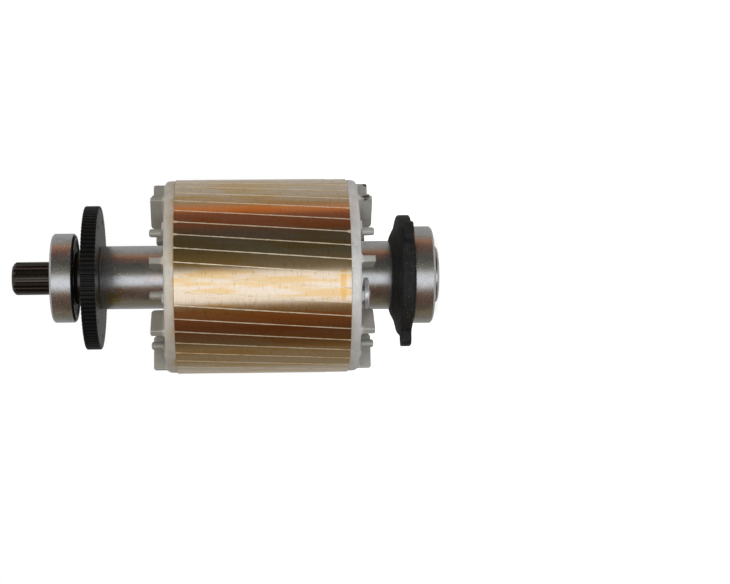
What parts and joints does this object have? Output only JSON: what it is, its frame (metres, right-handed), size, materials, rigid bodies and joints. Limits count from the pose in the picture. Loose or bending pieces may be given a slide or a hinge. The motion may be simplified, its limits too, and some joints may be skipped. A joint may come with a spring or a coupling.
{
  "type": "motor rotor",
  "caption": "Squirrel-cage motor rotor on a splined shaft, with cast cooling vanes, a fine-toothed speed gear, a shielded ball bearing on each end and a loose retainer plate.",
  "frame": {"origin": "centre of the flat rear end of the shaft, on which the rotor stands", "axes": "+Z along the shaft towards the splined end; +X is the top of the picture and -Y faces its camera"},
  "size_m": [0.1352, 0.1352, 0.2955],
  "materials": {
    "ground_steel": "ground",
    "varnished_laminations": "turned, thin varnish",
    "cast_aluminium": "as cast",
    "zinc_plate": "zinc plated",
    "black_oxide": "black oxide, oiled",
    "black_casting": "rough black",
    "bearing_steel": "ground",
    "shield_steel": "pressed",
    "ball_steel": "polished",
    "pressed_steel": "pressed"
  },
  "bodies": {
    "rotor": {"shaft": "ground_steel", "lamination_stack": "varnished_laminations", "squirrel_cage": "cast_aluminium", "balance_washer": "zinc_plate", "speed_gear": "black_oxide", "rear_inner_ring": "bearing_steel", "front_inner_ring": "bearing_steel"},
    "rear_outer": {"rear_outer_ring": "bearing_steel", "rear_low_shield": "shield_steel", "rear_high_shield": "shield_steel"},
    "rear_ball_set": {"rear_balls": "ball_steel", "rear_cage_low_half": "pressed_steel", "rear_cage_high_half": "pressed_steel", "rear_cage_rivets": "pressed_steel"},
    "front_outer": {"front_outer_ring": "bearing_steel", "front_low_shield": "shield_steel", "front_high_shield": "shield_steel"},
    "front_ball_set": {"front_balls": "ball_steel", "front_cage_low_half": "pressed_steel", "front_cage_high_half": "pressed_steel", "front_cage_rivets": "pressed_steel"},
    "plate": {"retainer_plate": "black_casting"}
  },
  "joints": [
    {"name": "rear_bearing_turn", "type": "hinge", "parent": "rotor", "child": "rear_outer", "pos_m": [0, 0, 0.0115], "axis": [0, 0, 1], "continuous": true},
    {"name": "rear_balls_turn", "type": "hinge", "parent": "rotor", "child": "rear_ball_set", "pos_m": [0, 0, 0.0115], "axis": [0, 0, 1], "continuous": true},
    {"name": "front_bearing_turn", "type": "hinge", "parent": "rotor", "child": "front_outer", "pos_m": [0, 0, 0.2595], "axis": [0, 0, 1], "continuous": true},
    {"name": "front_balls_turn", "type": "hinge", "parent": "rotor", "child": "front_ball_set", "pos_m": [0, 0, 0.2595], "axis": [0, 0, 1], "continuous": true},
    {"name": "plate_turn", "type": "hinge", "parent": "rotor", "child": "plate", "pos_m": [0, 0, 0.0193], "axis": [0, 0, 1], "continuous": true}
  ],
  "couplings": [
    {"joint": "rear_balls_turn", "follows": "rear_bearing_turn", "ratio": 0.5735},
    {"joint": "front_balls_turn", "follows": "front_bearing_turn", "ratio": 0.6035}
  ]
}
